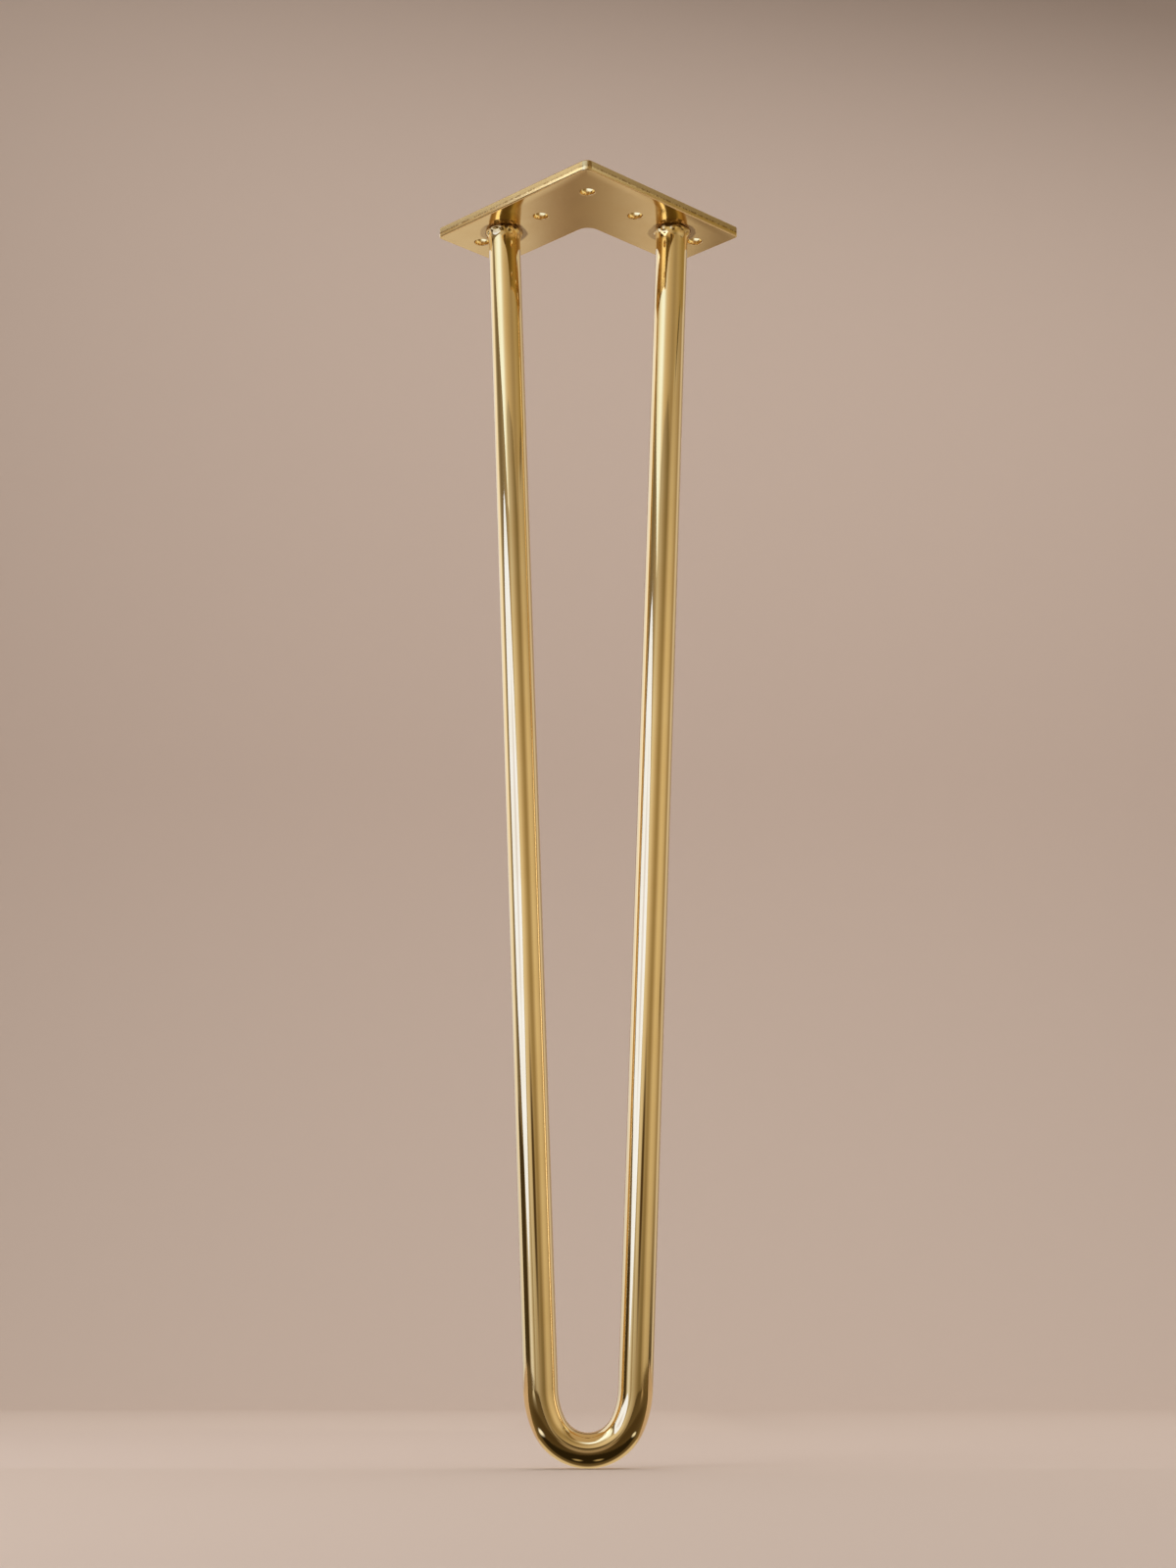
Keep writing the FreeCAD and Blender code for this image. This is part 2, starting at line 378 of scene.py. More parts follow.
def lay_bead(name, side):
    """One weld bead; side is +1 on the right and -1 on the left."""
    seat = SEAT if side > 0 else other_side(SEAT)
    axis = UP_THE_BAR if side > 0 else other_side(UP_THE_BAR)
    outward = Vector((side * math.cos(LEAN), 0, -math.sin(LEAN)))
    start_clean()
    bpy.ops.mesh.primitive_circle_add(
        vertices=len(BEAD_SECTION), radius=MM, fill_type="NOTHING", location=seat
    )
    bead = begin(name)
    ring = sorted(bead.data.vertices, key=lambda spot: math.atan2(spot.co.y - seat.y, spot.co.x - seat.x))
    bpy.ops.object.mode_set(mode="OBJECT")
    for vertex, (out, down) in zip(ring, BEAD_SECTION):
        vertex.co = seat + outward * (BAR_RADIUS + out * MM) - axis * down * MM
    bpy.ops.object.mode_set(mode="EDIT")
    bpy.ops.mesh.select_all(action="SELECT")
    bpy.ops.mesh.spin(steps=BEAD_STEPS, angle=2 * math.pi, center=seat, axis=axis)
    bpy.ops.mesh.select_all(action="SELECT")
    bpy.ops.mesh.remove_doubles(threshold=0.01 * MM)
    bpy.ops.mesh.normals_make_consistent(inside=False)

    for lump in range(LUMPS):
        turn = 2 * math.pi * (lump + random.uniform(-0.3, 0.3)) / LUMPS
        around_bar = outward * math.cos(turn) + Vector((0, 1, 0)) * math.sin(turn)
        down = random.uniform(0.4, 1.4)
        peak = seat + around_bar * (BAR_RADIUS + (1.12 - 0.47 * down) * MM) - axis * down * MM
        push = random.uniform(*(DRAWN_OUT if lump % 2 else PUSHED_IN))
        pick("VERT", lambda vertex: (vertex.co - peak).length < 0.28 * MM)
        bpy.ops.transform.translate(
            value=(around_bar - 0.5 * axis) * push * MM,
            use_proportional_edit=True, use_proportional_connected=False,
            proportional_edit_falloff="SMOOTH", proportional_size=random.uniform(0.9, 1.3) * MM
        )
    cut_at_underside()
    bpy.ops.object.mode_set(mode="OBJECT")
    bpy.ops.object.shade_smooth_by_angle(angle=math.radians(50))
    tell(bead)
    return bead


bead_right = lay_bead("weld_right", 1)
bead_left = lay_bead("weld_left", -1)

# %% [markdown]
# ## The gold finish
#
# All three pieces wear the same plating, a thin coat of brass under clear lacquer, but it lies over steel
# that was prepared in three ways: polished on the bar, tumbled to a satin on the plate, and left as it
# cooled on the welds. So one node group gives what the plating has everywhere, soft clouds in its tone and
# in its shine, and another gives fine grain. Each material then puts in its own values.

# %% Helpers for nodes
def add_node(tree, kind, **settings):
    """Add a node; settings are its attributes, and inputs holds values, or sockets to link from."""
    node = tree.nodes.new(kind)
    inputs = settings.pop("inputs", {})
    for key, value in settings.items():
        setattr(node, key, value)
    for key, value in inputs.items():
        if isinstance(value, bpy.types.NodeSocket):
            tree.links.new(value, node.inputs[key])
        else:
            node.inputs[key].default_value = value
    return node


def new_group(name, inputs, outputs):
    """A shader node group with named sockets; returns the group, its inputs and the node for its outputs."""
    group = bpy.data.node_groups.new(name, "ShaderNodeTree")
    for label, kind in inputs.items():
        group.interface.new_socket(label, in_out="INPUT", socket_type="NodeSocket" + kind)
    for label, kind in outputs.items():
        group.interface.new_socket(label, in_out="OUTPUT", socket_type="NodeSocket" + kind)
    return group, group.nodes.new("NodeGroupInput").outputs, group.nodes.new("NodeGroupOutput").inputs


def empty_tree(owner):
    """The node tree of a material or of the world, emptied."""
    owner.use_nodes = True
    owner.node_tree.nodes.clear()
    return owner.node_tree


def new_material(name):
    """A material with its tree and its Principled shader, which is linked to its output."""
    material = bpy.data.materials.new(name)
    tree = empty_tree(material)
    shader = add_node(tree, "ShaderNodeBsdfPrincipled")
    add_node(tree, "ShaderNodeOutputMaterial", inputs={"Surface": shader.outputs[0]})
    return material, tree, shader


# %% Group: clouds in the plating
plating, given, out = new_group(
    "plating",
    {
        "Vector": "Vector", "Tone": "Color", "Deep Tone": "Color",
        "Size": "Float", "Smooth": "Float", "Dull": "Float",
    },
    {"Color": "Color", "Roughness": "Float"},
)
clouds = add_node(
    plating, "ShaderNodeTexNoise",
    inputs={"Vector": given["Vector"], "Scale": given["Size"], "Detail": 4.0, "Roughness": 0.55}
)
spread = add_node(
    plating, "ShaderNodeMapRange", inputs={"Value": clouds.outputs["Fac"], "From Min": 0.32, "From Max": 0.68}
)
tint = add_node(
    plating, "ShaderNodeMix", data_type="RGBA",
    inputs={0: spread.outputs[0], 6: given["Deep Tone"], 7: given["Tone"]}
)
shine = add_node(
    plating, "ShaderNodeMapRange",
    inputs={"Value": spread.outputs[0], "To Min": given["Dull"], "To Max": given["Smooth"]}
)
plating.links.new(tint.outputs[2], out["Color"])
plating.links.new(shine.outputs[0], out["Roughness"])
print("group", plating.name, "with", len(plating.nodes), "nodes")

# %% Group: fine grain
grain, given, out = new_group(
    "grain", {"Vector": "Vector", "Stretch": "Vector", "Fineness": "Float"}, {"Height": "Float"}
)
drawn = add_node(
    grain, "ShaderNodeVectorMath", operation="MULTIPLY", inputs={0: given["Vector"], 1: given["Stretch"]}
)
lines = add_node(
    grain, "ShaderNodeTexNoise",
    inputs={"Vector": drawn.outputs[0], "Scale": given["Fineness"], "Detail": 3.0, "Roughness": 0.6}
)
grain.links.new(lines.outputs["Fac"], out["Height"])
print("group", grain.name, "with", len(grain.nodes), "nodes")

# %% [markdown]
# The bar's gold is close to a mirror. Its grain is drawn out along the bar, hundreds of times longer than
# wide, and only a few thousandths of a millimetre deep.

# %% Material: polished bar
GOLD = (0.90, 0.69, 0.36, 1)
DEEP_GOLD = (0.87, 0.65, 0.32, 1)

polished_gold, tree, shader = new_material("polished_gold")
shader.inputs["Metallic"].default_value = 1.0
before_bending = add_node(tree, "ShaderNodeAttribute", attribute_name="straightened")
coat = add_node(
    tree, "ShaderNodeGroup", node_tree=plating,
    inputs={
        "Vector": before_bending.outputs["Vector"], "Tone": GOLD, "Deep Tone": DEEP_GOLD, "Size": 45.0,
        "Smooth": 0.035, "Dull": 0.06,
    },
)
polish = add_node(
    tree, "ShaderNodeGroup", node_tree=grain,
    inputs={"Vector": before_bending.outputs["Vector"], "Stretch": (1, 1, 0.004), "Fineness": 2600.0},
)
relief = add_node(
    tree, "ShaderNodeBump",
    inputs={"Strength": 0.25, "Distance": 0.004 * MM, "Height": polish.outputs["Height"]}
)
tree.links.new(coat.outputs["Color"], shader.inputs["Base Color"])
tree.links.new(coat.outputs["Roughness"], shader.inputs["Roughness"])
tree.links.new(relief.outputs[0], shader.inputs["Normal"])
print(polished_gold.name, "with", len(tree.nodes), "nodes")

# %% [markdown]
# The plate shows how it was made. Its edges are sheared: smooth next to the underside, where the die cut, and
# broken and darker above, with a row of fine ticks between. The die also drew the underside's outer rim in by
# a tenth of a millimetre. Round each weld, on the underside, lies a dull grey stain, stronger on the weld's
# right side, where it is partly painted shadow of the bead; in front of each weld is a painted shade.
# Most of these are masks, numbers from 0 to 1 worked out from a point's place on the plate.

# %% Helpers for masks
def add_math(tree, operation, *numbers):
    """A number worked out from one, two or three others."""
    return add_node(tree, "ShaderNodeMath", operation=operation, inputs=dict(enumerate(numbers))).outputs[0]


def add_step(tree, value, start, end):
    """A soft step: 0 at start and 1 at end."""
    return add_node(
        tree, "ShaderNodeMapRange", interpolation_type="SMOOTHSTEP",
        inputs={"Value": value, "From Min": start, "From Max": end}
    ).outputs[0]


def add_darkening(tree, colour, amount, tone):
    """Multiply a colour by a tone, by an amount from 0 to 1."""
    return add_node(
        tree, "ShaderNodeMix", data_type="RGBA", blend_type="MULTIPLY",
        inputs={0: amount, 6: colour, 7: (*tone, 1)}
    ).outputs[2]


# %% Material: satin plate
satin_gold, tree, shader = new_material("satin_gold")
shader.inputs["Metallic"].default_value = 1.0
place = add_node(tree, "ShaderNodeTexCoord")
coat = add_node(
    tree, "ShaderNodeGroup", node_tree=plating,
    inputs={
        "Vector": place.outputs["Object"], "Tone": GOLD, "Deep Tone": DEEP_GOLD, "Size": 90.0,
        "Smooth": 0.07, "Dull": 0.11,
    },
)
tumbled = add_node(
    tree, "ShaderNodeGroup", node_tree=grain,
    inputs={"Vector": place.outputs["Object"], "Stretch": (1, 1, 1), "Fineness": 2600.0},
)
spot = add_node(tree, "ShaderNodeSeparateXYZ", inputs={0: place.outputs["Object"]}).outputs
facing = add_node(tree, "ShaderNodeSeparateXYZ", inputs={0: place.outputs["Normal"]}).outputs
from_middle = add_math(tree, "ABSOLUTE", spot[0])

# %% Masks for the sheared sides
# the walls of the holes stand upright too, so near a hole the mask is 0
beside = add_node(tree, "ShaderNodeCombineXYZ", inputs={0: from_middle, 1: spot[1]}).outputs[0]
to_hole = [
    add_node(
        tree, "ShaderNodeVectorMath", operation="DISTANCE",
        inputs={0: beside, 1: (abs(centre.x), centre.y, 0)}
    ).outputs["Value"]
    for centre in HOLE_CENTRES[:3]
]
nearest_hole = add_math(tree, "MINIMUM", add_math(tree, "MINIMUM", to_hole[0], to_hole[1]), to_hole[2])
on_side = add_math(
    tree, "MULTIPLY", add_step(tree, add_math(tree, "ABSOLUTE", facing[2]), 0.6, 0.3),
    add_step(tree, nearest_hole, HOLE_RADIUS + 0.4 * MM, HOLE_RADIUS + 0.6 * MM)
)
strokes = add_node(
    tree, "ShaderNodeVectorMath", operation="MULTIPLY", inputs={0: place.outputs["Object"], 1: (1, 1, 0.12)}
)
ragged = add_node(
    tree, "ShaderNodeTexNoise", inputs={"Vector": strokes.outputs[0], "Scale": 1900.0, "Detail": 1.0}
).outputs["Fac"]
break_line = add_math(tree, "MULTIPLY_ADD", ragged, 0.8 * MM, -2.8 * MM)
from_break = add_math(tree, "SUBTRACT", spot[2], break_line)
above_break = add_step(tree, from_break, -0.2 * MM, 0.4 * MM)
near_break = add_step(tree, add_math(tree, "ABSOLUTE", from_break), 0.5 * MM, 0.1 * MM)
ticks = add_step(tree, ragged, 0.38, 0.62)
broken = add_math(tree, "MULTIPLY", on_side, above_break)
ticked = add_math(tree, "MULTIPLY", add_math(tree, "MULTIPLY", on_side, near_break), ticks)
print("nodes so far:", len(tree.nodes))

# %% Masks for the stain with the bead's painted shadow, and for the painted shade in front
underneath = add_step(tree, spot[2], 0.8 * UNDERSIDE, 0.9 * UNDERSIDE)
outwards = add_math(tree, "SUBTRACT", from_middle, SEAT.x)
frontwards = add_math(tree, "SUBTRACT", SEAT.y, spot[1])
from_seat = add_node(tree, "ShaderNodeCombineXYZ", inputs={0: outwards, 1: frontwards}).outputs[0]
reach = add_node(tree, "ShaderNodeVectorMath", operation="LENGTH", inputs={0: from_seat}).outputs["Value"]
patchy = add_node(
    tree, "ShaderNodeTexNoise", inputs={"Vector": place.outputs["Object"], "Scale": 160.0, "Detail": 3.0}
).outputs["Fac"]
past_rim = add_math(tree, "SUBTRACT", reach, add_math(tree, "MULTIPLY_ADD", patchy, 2.2 * MM, 7.8 * MM))
to_the_right = add_math(
    tree, "MULTIPLY", add_math(tree, "SIGN", spot[0]), add_math(tree, "DIVIDE", outwards, reach)
)
# partly painted shadow: the stain is weighted to each weld's right side, where the bead's shadow from the key
# lamp falls
stain_and_bead_shadow = add_math(
    tree, "MULTIPLY", add_step(tree, past_rim, 0.6 * MM, -0.4 * MM),
    add_math(
        tree, "MULTIPLY", add_step(tree, add_math(tree, "ABSOLUTE", to_the_right), 0.2, 0.8),
        add_math(tree, "MULTIPLY_ADD", to_the_right, 0.22, 0.75)
    )
)
stain_and_bead_shadow = add_math(tree, "MULTIPLY", stain_and_bead_shadow, underneath)
# painted shade: a dark patch on the plate's underside in front of each weld
in_front = add_step(tree, add_math(tree, "DIVIDE", frontwards, reach), 0.50, 0.90)
painted_front_shade = add_math(tree, "MULTIPLY", add_step(tree, past_rim, 1.1 * MM, -1.0 * MM), in_front)
painted_front_shade = add_math(tree, "MULTIPLY", painted_front_shade, underneath)
print("nodes so far:", len(tree.nodes))

# %% Colour and shine of the plate
in_the_pits = add_math(tree, "MULTIPLY", tumbled.outputs["Height"], 0.4)
colour = add_darkening(tree, coat.outputs["Color"], in_the_pits, (0.72, 0.68, 0.60))
colour = add_darkening(tree, colour, broken, (0.62, 0.58, 0.52))
colour = add_darkening(tree, colour, ticked, (0.42, 0.34, 0.25))
# the stain, darker on each weld's right side as painted shadow of the bead
colour = add_darkening(tree, colour, stain_and_bead_shadow, (0.50, 0.46, 0.46))
# painted shade in front of each weld
colour = add_darkening(tree, colour, painted_front_shade, (0.27, 0.21, 0.13))
tree.links.new(colour, shader.inputs["Base Color"])

dull = add_math(tree, "MAXIMUM", broken, stain_and_bead_shadow)
dulled = add_math(tree, "MULTIPLY_ADD", dull, 0.12, coat.outputs["Roughness"])
tree.links.new(dulled, shader.inputs["Roughness"])
print("nodes so far:", len(tree.nodes))

# %% Relief of the plate
ROLL_WIDTH, ROLL_CURVE = 4.2 * MM, -6.0  # the rim drawn in by the die: a tenth of a millimetre at the edge

backwards = add_math(tree, "SUBTRACT", spot[1], from_middle)
from_edge = add_math(tree, "MULTIPLY_ADD", backwards, DIAGONAL, ARM_WIDTH / 2)
near_edge = add_math(tree, "MAXIMUM", add_math(tree, "SUBTRACT", ROLL_WIDTH, from_edge), 0.0)
drawn_in = add_math(tree, "MULTIPLY", add_math(tree, "MULTIPLY", near_edge, near_edge), ROLL_CURVE)
roll = add_node(tree, "ShaderNodeBump", inputs={"Strength": 1.0, "Distance": 1.0, "Height": drawn_in})
relief = add_node(
    tree, "ShaderNodeBump",
    inputs={
        "Strength": 0.5, "Distance": 0.013 * MM,
        "Height": tumbled.outputs["Height"], "Normal": roll.outputs[0],
    }
)
tree.links.new(relief.outputs[0], shader.inputs["Normal"])
print(satin_gold.name, "with", len(tree.nodes), "nodes")

# %% [markdown]
# Weld metal cools browner and duller. Where it meets the plate, a painted shade darkens it. Down its thin
# run-out it has to match the bar, so its tones and its shine change with height.

# %% Material: welds
bead_gold, tree, shader = new_material("bead_gold")
shader.inputs["Metallic"].default_value = 1.0
place = add_node(tree, "ShaderNodeTexCoord")
height = add_node(tree, "ShaderNodeSeparateXYZ", inputs={0: place.outputs["Object"]}).outputs[2]
on_bead = add_step(tree, height, UNDERSIDE - 3.2 * MM, UNDERSIDE - 1.8 * MM)
burnt = add_node(
    tree, "ShaderNodeMix", data_type="RGBA", inputs={0: on_bead, 6: DEEP_GOLD, 7: (0.52, 0.34, 0.14, 1)}
).outputs[2]
cooled = add_node(
    tree, "ShaderNodeMix", data_type="RGBA", inputs={0: on_bead, 6: GOLD, 7: (0.85, 0.60, 0.23, 1)}
).outputs[2]
coat = add_node(
    tree, "ShaderNodeGroup", node_tree=plating,
    inputs={
        "Vector": place.outputs["Object"], "Tone": cooled, "Deep Tone": burnt, "Size": 620.0,
        "Smooth": add_math(tree, "MULTIPLY_ADD", on_bead, 0.04, 0.04),
        "Dull": add_math(tree, "MULTIPLY_ADD", on_bead, 0.11, 0.05),
    },
)
# painted shade: the bead darkens where it meets the plate
painted_toe_shade = add_step(tree, height, UNDERSIDE - 0.9 * MM, UNDERSIDE - 0.2 * MM)
colour = add_darkening(tree, coat.outputs["Color"], painted_toe_shade, (0.50, 0.40, 0.28))
tree.links.new(colour, shader.inputs["Base Color"])
tree.links.new(coat.outputs["Roughness"], shader.inputs["Roughness"])
print(bead_gold.name, "with", len(tree.nodes), "nodes")

# %% Give the pieces their finish and their place in the model
for piece, material, node, slot in (
    (bar, polished_gold, "hairpin_rod", "rod_gold"),
    (plate, satin_gold, "mounting_plate", "plate_gold"),
    (bead_left, bead_gold, "weld_bead_left", "weld_gold"),
    (bead_right, bead_gold, "weld_bead_right", "weld_gold"),
):
    piece.data.materials.clear()
    piece.data.materials.append(material)
    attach(piece, "root")
    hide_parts(node)
    print(piece.name, "stands for", node)

# %% [markdown]
# ## The studio
#
# Polished metal has hardly any colour of its own to show: it shows the room. So the room is built with
# care, as a photographer would: a pale swept floor, a wide soft lamp low on the left, soft light from
# above, and cards round the leg.

# %% Floor and backdrop in one sweep
FLOOR = -LEG_HEIGHT
BACK, SIDE, FRONT, WALL_TOP = 2.0, 2.6, -2.2, 2.4

start_clean()
bpy.ops.mesh.primitive_plane_add(size=1, location=(0, (BACK + FRONT) / 2, FLOOR))
bpy.context.object.scale = (2 * SIDE, BACK - FRONT, 1)
sweep = begin("sweep")
pick("EDGE", lambda edge: middle(edge).y > BACK - 0.01)
bpy.ops.mesh.extrude_region_move(TRANSFORM_OT_translate={"value": (0, 0, WALL_TOP - FLOOR)})
pick("EDGE", lambda edge: middle(edge).y > BACK - 0.01 and abs(middle(edge).z - FLOOR) < 0.01)
bpy.ops.mesh.bevel(offset=0.7, segments=24, profile=0.5, affect="EDGES")
bpy.ops.object.mode_set(mode="OBJECT")
bpy.ops.object.shade_smooth()
tell(sweep)

sweep_paint, tree, shader = new_material("sweep_paint")
shader.inputs["Base Color"].default_value = (0.72, 0.60, 0.53, 1)
shader.inputs["Roughness"].default_value = 0.85
shader.inputs["Specular IOR Level"].default_value = 0.2
sweep.data.materials.append(sweep_paint)

# %% Lamps
def around(azimuth, distance, height):
    """A place round the leg: azimuth in degrees from the camera's side, positive to the right."""
    turn = math.radians(azimuth)
    return Vector((math.sin(turn) * distance, SEAT.y - math.cos(turn) * distance, height))


def hang_lamp(name, place, target, size, radiance, shape="RECTANGLE", colour=(1, 1, 1)):
    """A soft lamp of a given size and brightness, turned to a target."""
    lamp = bpy.data.lights.new(name, "AREA")
    lamp.shape = shape
    lamp.size, lamp.size_y = size
    area = size[0] * size[1] * (math.pi / 4 if shape == "ELLIPSE" else 1)
    lamp.energy = radiance * area * math.pi
    lamp.color = colour
    holder = bpy.data.objects.new(name, lamp)
    holder.location = place
    holder.rotation_euler = (target - place).to_track_quat("-Z", "Y").to_euler()
    bpy.context.scene.collection.objects.link(holder)
    print("lamp %s: %.1f W" % (name, lamp.energy))
    return holder


KEY_AZIMUTH, KEY_DISTANCE = -53, 0.9
key_lamp = hang_lamp(
    "key_lamp", around(KEY_AZIMUTH, KEY_DISTANCE, -0.06), Vector((0, SEAT.y, -0.06)), (0.86, 0.54), 2.8,
    "ELLIPSE", (1, 0.98, 0.96)
)
key_lamp.visible_glossy = False  # its face is drawn by a card below
top_lamp = hang_lamp(
    "top_lamp", Vector((0.2, 0.5, 1.3)), Vector((0, 0.5, 0)), (2.2, 2.2), 1.4, colour=(1, 0.97, 0.93)
)
top_lamp.visible_glossy = False

# %% The room's own light
world = bpy.data.worlds.new("room")
bpy.context.scene.world = world
tree = empty_tree(world)
ray = add_node(tree, "ShaderNodeLightPath")
wall = add_node(tree, "ShaderNodeBackground", inputs={"Color": (0.50, 0.385, 0.25, 1), "Strength": 1.0})
glow = add_node(tree, "ShaderNodeBackground", inputs={"Color": (0.66, 0.60, 0.53, 1), "Strength": 0.45})
mixed = add_node(
    tree, "ShaderNodeMixShader",
    inputs={0: ray.outputs["Is Diffuse Ray"], 1: wall.outputs[0], 2: glow.outputs[0]}
)
add_node(tree, "ShaderNodeOutputWorld", inputs={"Surface": mixed.outputs[0]})
print("world", world.name, "with", len(tree.nodes), "nodes")

# %% [markdown]
# A card is a sheet of light or shade that is seen only in reflections. Most are bent round the leg at one
# distance, so their places are given by azimuth and height, and each fades from one colour to the next as it
# goes round. Soft spots of light or shade are laid over them.

# %% Helpers for cards
CARD_DISTANCE = 0.9
EVEN = ((-1, 1.0), (2, 1.0))  # the same strength all over
cards = []


def place_by_steps(ramp, stops, low, high):
    """Set a ramp's elements; the stops are given between low and high, with a colour or a grey each."""
    elements = ramp.color_ramp.elements
    while len(elements) < len(stops):
        elements.new(0.5)
    for element, (spot, value) in zip(elements, stops):
        element.position = (spot - low) / (high - low)
        element.color = (*value, 1) if isinstance(value, tuple) else (value, value, value, 1)


def new_card(name, vertices, places):
    """A sheet that is seen only in reflections. Its vertices come in pairs, as a ribbon's do, and its UV map
    holds two numbers for each. Returns the card and the empty tree of its material."""
    mesh = bpy.data.meshes.new(name)
    mesh.from_pydata(vertices, [], [(i, i + 2, i + 3, i + 1) for i in range(0, len(vertices) - 2, 2)])
    chart = mesh.uv_layers.new(name="places")
    for loop in mesh.loops:
        chart.data[loop.index].uv = places[loop.vertex_index]
    material = bpy.data.materials.new(name)
    mesh.materials.append(material)
    card = bpy.data.objects.new(name, mesh)
    bpy.context.scene.collection.objects.link(card)
    card.visible_camera = card.visible_diffuse = card.visible_shadow = False
    card.visible_transmission = card.visible_volume_scatter = False
    cards.append(card)
    return card, empty_tree(material)


# %% Helper that colours a card
def coloured_card(name, vertices, places, across, upward=EVEN, twice=1.0, only_twice=False):
    """A card coloured by the first of its two numbers, and as strong as the second says; twice is how much
    stronger it is where it is seen in a mirror image of a mirror image, and only_twice leaves just that."""
    tree = new_card(name, vertices, places)[1]
    chart = add_node(tree, "ShaderNodeUVMap", uv_map="places").outputs[0]
    split = add_node(tree, "ShaderNodeSeparateXYZ", inputs={0: chart})
    ramps = []
    for output, stops in ((0, across), (1, upward)):
        low, high = stops[0][0], stops[-1][0]
        spread = add_node(
            tree, "ShaderNodeMapRange",
            inputs={"Value": split.outputs[output], "From Min": low, "From Max": high}
        )
        ramps.append(add_node(tree, "ShaderNodeValToRGB", inputs={0: spread.outputs[0]}))
        place_by_steps(ramps[-1], stops, low, high)
    bounces = add_node(tree, "ShaderNodeLightPath").outputs["Glossy Depth"]
    boost = add_node(
        tree, "ShaderNodeMapRange",
        inputs={"Value": bounces, "From Min": 1.0, "From Max": 2.0, "To Min": 1.0, "To Max": twice}
    )
    strength = add_math(tree, "MULTIPLY", ramps[1].outputs[0], boost.outputs[0])
    light = add_node(tree, "ShaderNodeEmission", inputs={"Color": ramps[0].outputs[0], "Strength": strength})
    if only_twice:
        clear = add_node(tree, "ShaderNodeBsdfTransparent").outputs[0]
        second = add_math(tree, "GREATER_THAN", bounces, 1.5)
        light = add_node(tree, "ShaderNodeMixShader", inputs={0: second, 1: clear, 2: light.outputs[0]})
    add_node(tree, "ShaderNodeOutputMaterial", inputs={"Surface": light.outputs[0]})


# %% Helper for cards that are bent round the leg
def bent_card(name, columns, across, upward=EVEN, distance=CARD_DISTANCE, twice=1.0):
    """A card round the leg, with its azimuth, low and high edge in columns; across goes by azimuth, upward
    by height."""
    first, last = columns[0][0], columns[-1][0]
    count = round((last - first) / 2) + 1
    vertices, places = [], []
    for i in range(count):
        azimuth = first + (last - first) * i / (count - 1)
        for before, after in zip(columns, columns[1:]):
            if before[0] <= azimuth <= after[0] + 0.001:
                share = (azimuth - before[0]) / (after[0] - before[0])
                edges = [before[k] * (1 - share) + after[k] * share for k in (1, 2)]
        for height in edges:
            vertices.append(around(azimuth, distance, height))
            places.append((azimuth, height))
    coloured_card(name, vertices, places, across, upward, twice)


# %% Helper for soft spots
def soft_spot(name, place, half_size, colour, turn=None, tilt=0, firm=0.3):
    """An oval of light or shade that fades out at its edge: flat, or upright if it has a turn."""
    corners = [(x, y) for x in (-1, 1) for y in (-1, 1)]
    card, tree = new_card(name, [(x, y, 0) for x, y in corners], corners)
    card.scale = (*half_size, 1)
    card.location = place
    if turn is None:
        card.rotation_euler = (0, 0, math.radians(tilt))
    else:
        upright = Matrix.Rotation(math.radians(turn), 3, "Z") @ Matrix.Rotation(math.pi / 2, 3, "X")
        card.rotation_euler = (upright @ Matrix.Rotation(math.radians(tilt), 3, "Z")).to_euler()
    chart = add_node(tree, "ShaderNodeUVMap", uv_map="places").outputs[0]
    centre_out = add_node(tree, "ShaderNodeVectorMath", operation="LENGTH", inputs={0: chart})
    fade = add_node(
        tree, "ShaderNodeMapRange", interpolation_type="SMOOTHSTEP",
        inputs={"Value": centre_out.outputs["Value"], "From Min": 1.0, "From Max": firm}
    )
    clear = add_node(tree, "ShaderNodeBsdfTransparent").outputs[0]
    light = add_node(tree, "ShaderNodeEmission", inputs={"Color": (*colour, 1)}).outputs[0]
    mixed = add_node(tree, "ShaderNodeMixShader", inputs={0: fade.outputs[0], 1: clear, 2: light})
    add_node(tree, "ShaderNodeOutputMaterial", inputs={"Surface": mixed.outputs[0]})


# %% [markdown]
# The key lamp is a big oval of white on the left, and the bars draw it out into their long bright stripe.
# Above it hangs a second pale sheet, and the darker gap between the two cuts the stripe near the plate.

# %% The key lamp's face and what stands round it on the left
LOW, TOP = -0.456, 0.265
bent_card(
    "card_key",
    (
        (-81, -0.06, 0.0), (-79, -0.20, 0.09), (-74, -0.23, 0.13), (-66, -0.29, 0.165), (-58, -0.35, 0.17),
        (-50, -0.385, 0.145), (-42, -0.35, 0.11), (-36, -0.29, 0.06), (-31, -0.22, 0.02), (-27, -0.15, -0.04),
        (-25.5, -0.11, -0.07),
    ),
    ((-81, (1.02, 1.26, 2.15)), (-25.5, (1.04, 1.30, 2.25))),
    twice=1.9,
)
soft_spot("spot_key_core", around(-50, 0.88, -0.09), (0.15, 0.18), (0.84, 0.96, 1.58), turn=-50)
soft_spot("spot_low_stripe", around(-28, 0.87, -0.40), (0.032, 0.11), (0.26, 0.20, 0.10), turn=-28)
bent_card(
    "card_high_left",
    (
        (-86, 0.38, 1.0), (-76, 0.325, 1.0), (-64, 0.285, 1.0), (-52, 0.25, 1.0), (-42, 0.21, 1.0),
        (-36, 0.185, 1.0), (-32, 0.19, 1.0), (-28, 0.25, 1.0), (-22, 0.33, 1.0),
    ),
    (
        (-86, (0.50, 0.44, 0.36)), (-74, (0.80, 0.82, 0.80)), (-62, (1.02, 1.18, 1.38)),
        (-48, (1.06, 1.30, 1.70)), (-38, (1.06, 1.28, 1.66)), (-30, (0.90, 0.98, 1.08)),
        (-22, (0.72, 0.69, 0.62)),
    ),
)
